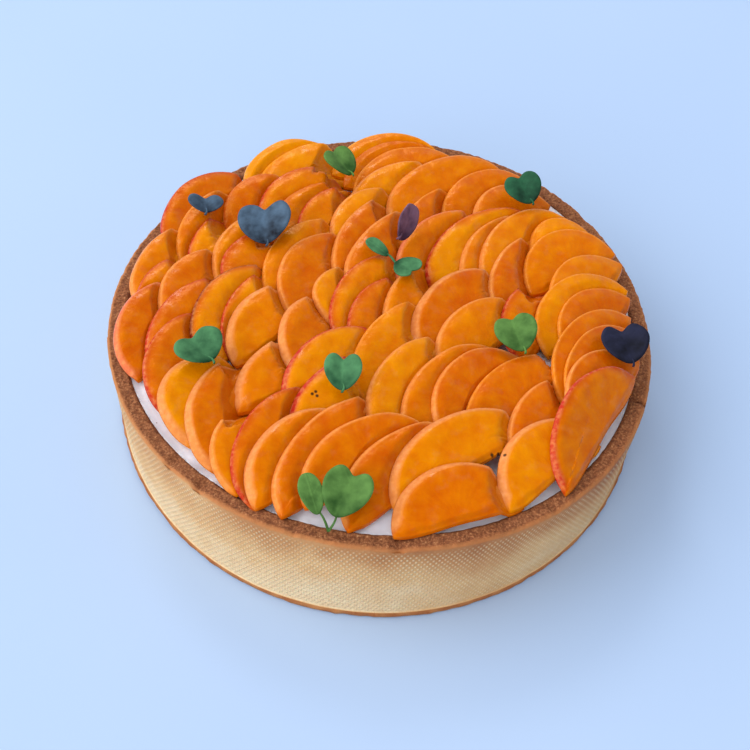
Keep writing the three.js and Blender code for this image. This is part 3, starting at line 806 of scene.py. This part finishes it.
def slice_mesh(piece, seed, ceiling):
    """Points, faces and named values of one slice, pressed under those that lie on it"""
    rings, middle = slice_rings(piece, seed)
    flat = np.concatenate([ring for ring, _, _ in rings] + [middle[None], middle[None]])
    share = np.concatenate([np.full(AROUND, height) for _, height, _ in rings] + [[0.0, 1.0]])
    skin = np.concatenate([skin for _, _, skin in rings] + [[0.0, 0.0]])
    depth, along = flat[:, 0], flat[:, 1]
    under = piece.place(depth, along)
    x, y = under[:, 0], under[:, 1]

    local = np.column_stack([depth, along, np.full(len(depth), seed * 5.0)])
    rounded = distance_outside(piece, depth, along)
    dish = DISH_DEPTH * smooth(-1.0, -7.0, rounded)
    wave = noise(local, 7, 31) * 0.22 + noise(local, 2.6, 32) * 0.06
    thinned = EDGE_SHARE + (1 - EDGE_SHARE) * smooth(0, -EDGE_RUN, rounded)
    uneven = 0.85 + 0.12 * noise(np.full((1, 3), seed * 7.0), 3, 33)
    tall = piece.tall * thinned * uneven + share * (wave - dish)
    bottom = np.maximum(under[:, 2], case_height(x, y) - GAP + 0.05)
    top = np.minimum(bottom + tall, grid_sample(ceiling, x, y) - SKIN_GAP)
    bottom = np.minimum(bottom, top - LEAST_THICKNESS)
    points = np.stack([x, y, bottom + (top - bottom) * share], 1)
    values = slice_values(piece, seed, depth, along, rounded, skin)
    return points, ring_faces(len(rings), AROUND, True), values


def make_slices():
    """Makes every slice from the top one down, and gives the ceiling over the cream"""
    laid = lay_slices()
    random = np.random.default_rng(11)
    for piece in laid:
        piece.tone = MEAN_TONE + random.uniform(-TONE_SPREAD, TONE_SPREAD) + TONE_SHIFT.get(piece.skin, 0)
    span = np.arange(GRID_SIDE) * GRID_STEP - GRID_REACH
    ceiling = np.full((GRID_SIDE, GRID_SIDE), OPEN_AIR)
    built = {}
    for seed, piece in reversed(list(enumerate(laid))):
        built.setdefault(piece.node, []).append(slice_mesh(piece, seed, ceiling))
        lower_ceiling(ceiling, piece, span)
    material = fruit_material()
    for node, parts in built.items():
        points, faces, values = joined(parts)
        name = node.replace("slice", "apricot")
        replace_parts(make_piece(name, points, faces, values, material), node)
    return ceiling


def make_cream(ceiling):
    """The cream's surface dips under the slices, and its sides and underside fill the case"""
    around = 240
    underside = FLOOR + GAP
    spread = np.concatenate([[0.01, 0.4], np.linspace(0.7, 1.0, 34)])
    angle = np.linspace(0, 2 * math.pi, around, endpoint=False)
    radius = np.repeat(spread, around) * (INNER_RADIUS + 0.15)
    turn = np.tile(angle, len(spread))
    factor = roundness(turn, HEIGHT)
    x, y = radius * factor * np.cos(turn), radius * factor * np.sin(turn)
    flat = np.stack([x, y, np.zeros_like(x)], 1)
    z = case_height(x, y) - GAP
    dome = CREAM_LEVEL + CREAM_DOME * (1 - (radius / INNER_RADIUS) ** 2)
    z = np.where(radius > INNER_RADIUS - 1.2, np.minimum(z, dome), dome)
    z += noise(flat, 6, 41) * 0.22 + noise(flat, 2, 42) * 0.07
    z += 0.35 * smooth(INNER_RADIUS - 1.2, INNER_RADIUS, radius)
    z = np.minimum(z, grid_sample(ceiling, x, y) - 0.05)
    top = np.stack([x, y, z], 1)[::-1]
    side = np.stack([x[-around:], y[-around:], np.full(around, underside)], 1)[::-1]
    points = np.concatenate([side, top, [(0, 0, underside), (0, 0, z[:around].mean())]])
    faces = [face[::-1] for face in ring_faces(len(spread) + 1, around, True)]
    piece = make_piece("cream_filling", points, faces, {}, cream_material())
    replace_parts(piece, "cream")


# Leaves

BLADE_POINTS = 56
BLADE_RINGS = 9


def blade_plan(width, length, notch):
    """A plump heart, or an egg without a notch, with its tip at the origin: its rings and its middle"""
    turn = np.linspace(0, 2 * math.pi, BLADE_POINTS, endpoint=False)
    from_notch = np.minimum(turn, 2 * math.pi - turn)
    reach = 1 - notch * np.exp(-(from_notch / NOTCH_ANGLE) ** 2)
    narrowed = 1 - TIP_NARROWING * ((1 - np.cos(turn)) / 2) ** 2
    across = narrowed * reach * np.sin(turn) * width / 2
    edge = np.stack([across, (1 + reach * np.cos(turn)) * length / 2], 1)
    middle = np.array([0.0, 0.55 * length])
    rings = [middle + (edge - middle) * share for share in np.linspace(0.04, 1, BLADE_RINGS)]
    return np.concatenate(rings + [middle[None]])


def blade_faces():
    """Both faces of a blade, split alike, and the edge that joins them"""
    count = BLADE_POINTS * BLADE_RINGS + 1
    step = np.arange(BLADE_POINTS)
    following = (step + 1) % BLADE_POINTS
    disc = ring_faces(BLADE_RINGS, BLADE_POINTS, False)
    disc += np.stack([following, step, np.full(BLADE_POINTS, count - 1)], 1).tolist()
    faces = [[corner + count for corner in face[::-1]] for face in disc] + disc
    low = (BLADE_RINGS - 1) * BLADE_POINTS
    high = low + count
    return faces + np.stack([low + step, low + following, high + following, high + step], 1).tolist()


def blade_surface(flat, width, length, seed):
    """Height of the blade: folded along its midline, with lobes that curl and an edge that waves"""
    x, y = flat[:, 0], flat[:, 1]
    fold = 0.3 * np.sqrt(x ** 2 + 0.4)
    curl = -0.035 * (np.abs(x) / width * 2) ** 2 * width * 1.6
    wave = 0.35 * np.sin(x * 0.9 + seed) * np.sin(y * 0.5 + seed * 2) * np.hypot(x / width, y / length)
    return fold + curl + wave


def blade_vein(flat, width, length):
    """1 on the midrib and side veins, fading to 0 between them"""
    x, y = flat[:, 0], flat[:, 1]
    midrib = np.exp(-(x / (0.035 * width)) ** 2)
    side = (y - np.abs(x) * 0.9) / length * 4.5
    veins = np.exp(-(((side + 0.5) % 1 - 0.5) / 0.09) ** 2) * 0.5
    return np.clip(midrib + veins, 0, 1)


def turned(points, pitch, roll, heading):
    """A blade's points rolled about its own length, lifted and turned to its heading"""
    matrix = (Matrix.Rotation(math.radians(heading - 90), 3, "Z")
              @ Matrix.Rotation(math.radians(pitch), 3, "X")
              @ Matrix.Rotation(math.radians(roll), 3, "Y"))
    return points @ np.array(matrix).T


def stem(start, end):
    """A thin tapered stalk between two places, as points and faces"""
    around, rings = 10, 12
    line = end - start
    ahead = line / np.linalg.norm(line)
    aside = np.cross(ahead, (0, 0, 1.0))
    aside /= np.linalg.norm(aside)
    above = np.cross(aside, ahead)
    turn = np.linspace(0, 2 * math.pi, around, endpoint=False)
    points = []
    for share in np.linspace(0, 1, rings):
        middle = start + line * share + aside * STEM_BEND * math.sin(math.pi * share)
        thick = STEM_RADIUS * (1.0 - 0.45 * share)
        points.append(middle + thick * (np.outer(np.cos(turn), aside) + np.outer(np.sin(turn), above)))
    points = np.concatenate(points + [start[None], end[None]])
    return points, ring_faces(rings, around, True)


def blade_part(pitch, roll, seed, x, y, heading, width, length, notch):
    """One blade as points, faces and named values"""
    flat = blade_plan(width, length, notch)
    lower = np.column_stack([flat, blade_surface(flat, width, length, seed + width)])
    upper = lower + (0, 0, LEAF_THICKNESS)
    points = turned(np.concatenate([lower, upper]), pitch, roll, heading) + (x, y, 0)
    far = np.clip(np.hypot(flat[:, 0] / width * 1.2, flat[:, 1] / length), 0, 1)
    values = {"vein": np.tile(blade_vein(flat, width, length), 2), "far": np.tile(far, 2)}
    return points, blade_faces(), values


def leaf_parts(pitch, roll, drop, blades):
    """The blades and stalks of one leaf or sprig, before it is set down"""
    parts = []
    for seed, (x, y, heading, width, length, notch) in enumerate(blades):
        parts.append(blade_part(pitch, roll, seed, x, y, heading, width, length, notch))
        ahead = np.array([math.cos(math.radians(heading)), math.sin(math.radians(heading)), 0])
        rise = STEM_IN_BLADE * math.tan(math.radians(pitch))
        inside = np.array([x, y, STEM_LEVEL + rise]) + ahead * STEM_IN_BLADE
        root = np.array([0, 0, STEM_LEVEL - drop]) if len(blades) > 1 else inside - ahead * STEM_LENGTH
        points, faces = stem(root, inside)
        parts.append((points, faces, {"vein": np.ones(len(points)), "far": np.full(len(points), 0.5)}))
    return parts


def make_leaves():
    """Sets each leaf down to where its solid lies"""
    for name, (kind, root, pitch, roll, drop, blades) in LEAVES.items():
        points, faces, values = joined(leaf_parts(pitch, roll, drop, blades))
        low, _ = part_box(name)
        points += (root[0], root[1], low[2] / MM - points[:, 2].min() - GAP / 2)
        slot, dark, light = LEAF_COLOURS[kind]
        material = leaf_material(f"Seed leaf {name}", dark, light)
        piece = make_piece(f"{name}_blade", points, faces, values, material)
        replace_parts(piece, name)


# Camera, floor and light

CAMERA_PLACE = Vector((-0.001167, -0.243370, 0.307316))
CAMERA_HEIGHT_ANGLE = 51.0186  # degrees above the horizon
CAMERA_ROLL = 4.3298  # degrees
FOCAL_LENGTH = 57.6
SENSOR_WIDTH = 36
FLOOR_REACH = 3.0
WARM_WHITE = (1.0, 0.98, 0.95)
SKY_COLOUR = (0.93, 0.96, 1.0, 1)
SKY_STRENGTH = 0.78
# Discs of light that face the tart: name, place, size in metres and power in watts
LIGHTS = [
    ("Window", (-2.3, 0.1, 2.0), 3.2, 60),
    ("Fill", (-1.4, -2.4, 1.2), 2.4, 34),
    ("Sheen", (-0.9, 2.0, 2.2), 0.9, 13),
]


def make_camera():
    """The photograph's own camera, fitted to the rim and the base"""
    lift, roll = math.radians(CAMERA_HEIGHT_ANGLE), math.radians(CAMERA_ROLL)
    back = Vector((0, -math.cos(lift), math.sin(lift)))
    right = Vector((1, 0, 0))
    up = Vector((0, math.sin(lift), math.cos(lift)))
    rolled_right = math.cos(roll) * right + math.sin(roll) * up
    rolled_up = -math.sin(roll) * right + math.cos(roll) * up
    data = bpy.data.cameras.new("Camera")
    data.lens = FOCAL_LENGTH
    data.sensor_width = SENSOR_WIDTH
    camera = bpy.data.objects.new("Camera", data)
    turn = Matrix((rolled_right, rolled_up, back)).transposed().to_4x4()
    camera.matrix_world = Matrix.Translation(CAMERA_PLACE) @ turn
    bpy.context.scene.collection.objects.link(camera)
    bpy.context.scene.camera = camera


def make_floor():
    """A flat sheet under the tart, for the picture only"""
    mesh = bpy.data.meshes.new("floor")
    corners = [(x * FLOOR_REACH, y * FLOOR_REACH, 0) for x, y in ((-1, -1), (1, -1), (1, 1), (-1, 1))]
    mesh.from_pydata(corners, [], [(0, 1, 2, 3)])
    mesh.materials.append(floor_material())
    floor = bpy.data.objects.new("floor", mesh)
    bpy.context.scene.collection.objects.link(floor)


def add_light(name, place, size, power):
    """One disc of light, turned to the middle of the tart's underside"""
    data = bpy.data.lights.new(name, "AREA")
    data.shape = "DISK"
    data.size = size
    data.energy = power
    data.color = WARM_WHITE
    light = bpy.data.objects.new(name, data)
    light.location = place
    light.rotation_euler = (-Vector(place)).to_track_quat("-Z", "Y").to_euler()
    bpy.context.scene.collection.objects.link(light)


def make_light():
    """The discs of light and an even pale sky"""
    for light in LIGHTS:
        add_light(*light)
    world = bpy.data.worlds.new("Soft daylight")
    world.use_nodes = True
    background = world.node_tree.nodes["Background"]
    background.inputs["Color"].default_value = SKY_COLOUR
    background.inputs["Strength"].default_value = SKY_STRENGTH
    bpy.context.scene.world = world
    bpy.context.scene.view_settings.view_transform = "Standard"


make_camera()
make_floor()
make_light()
make_crust()
make_cream(make_slices())
make_leaves()
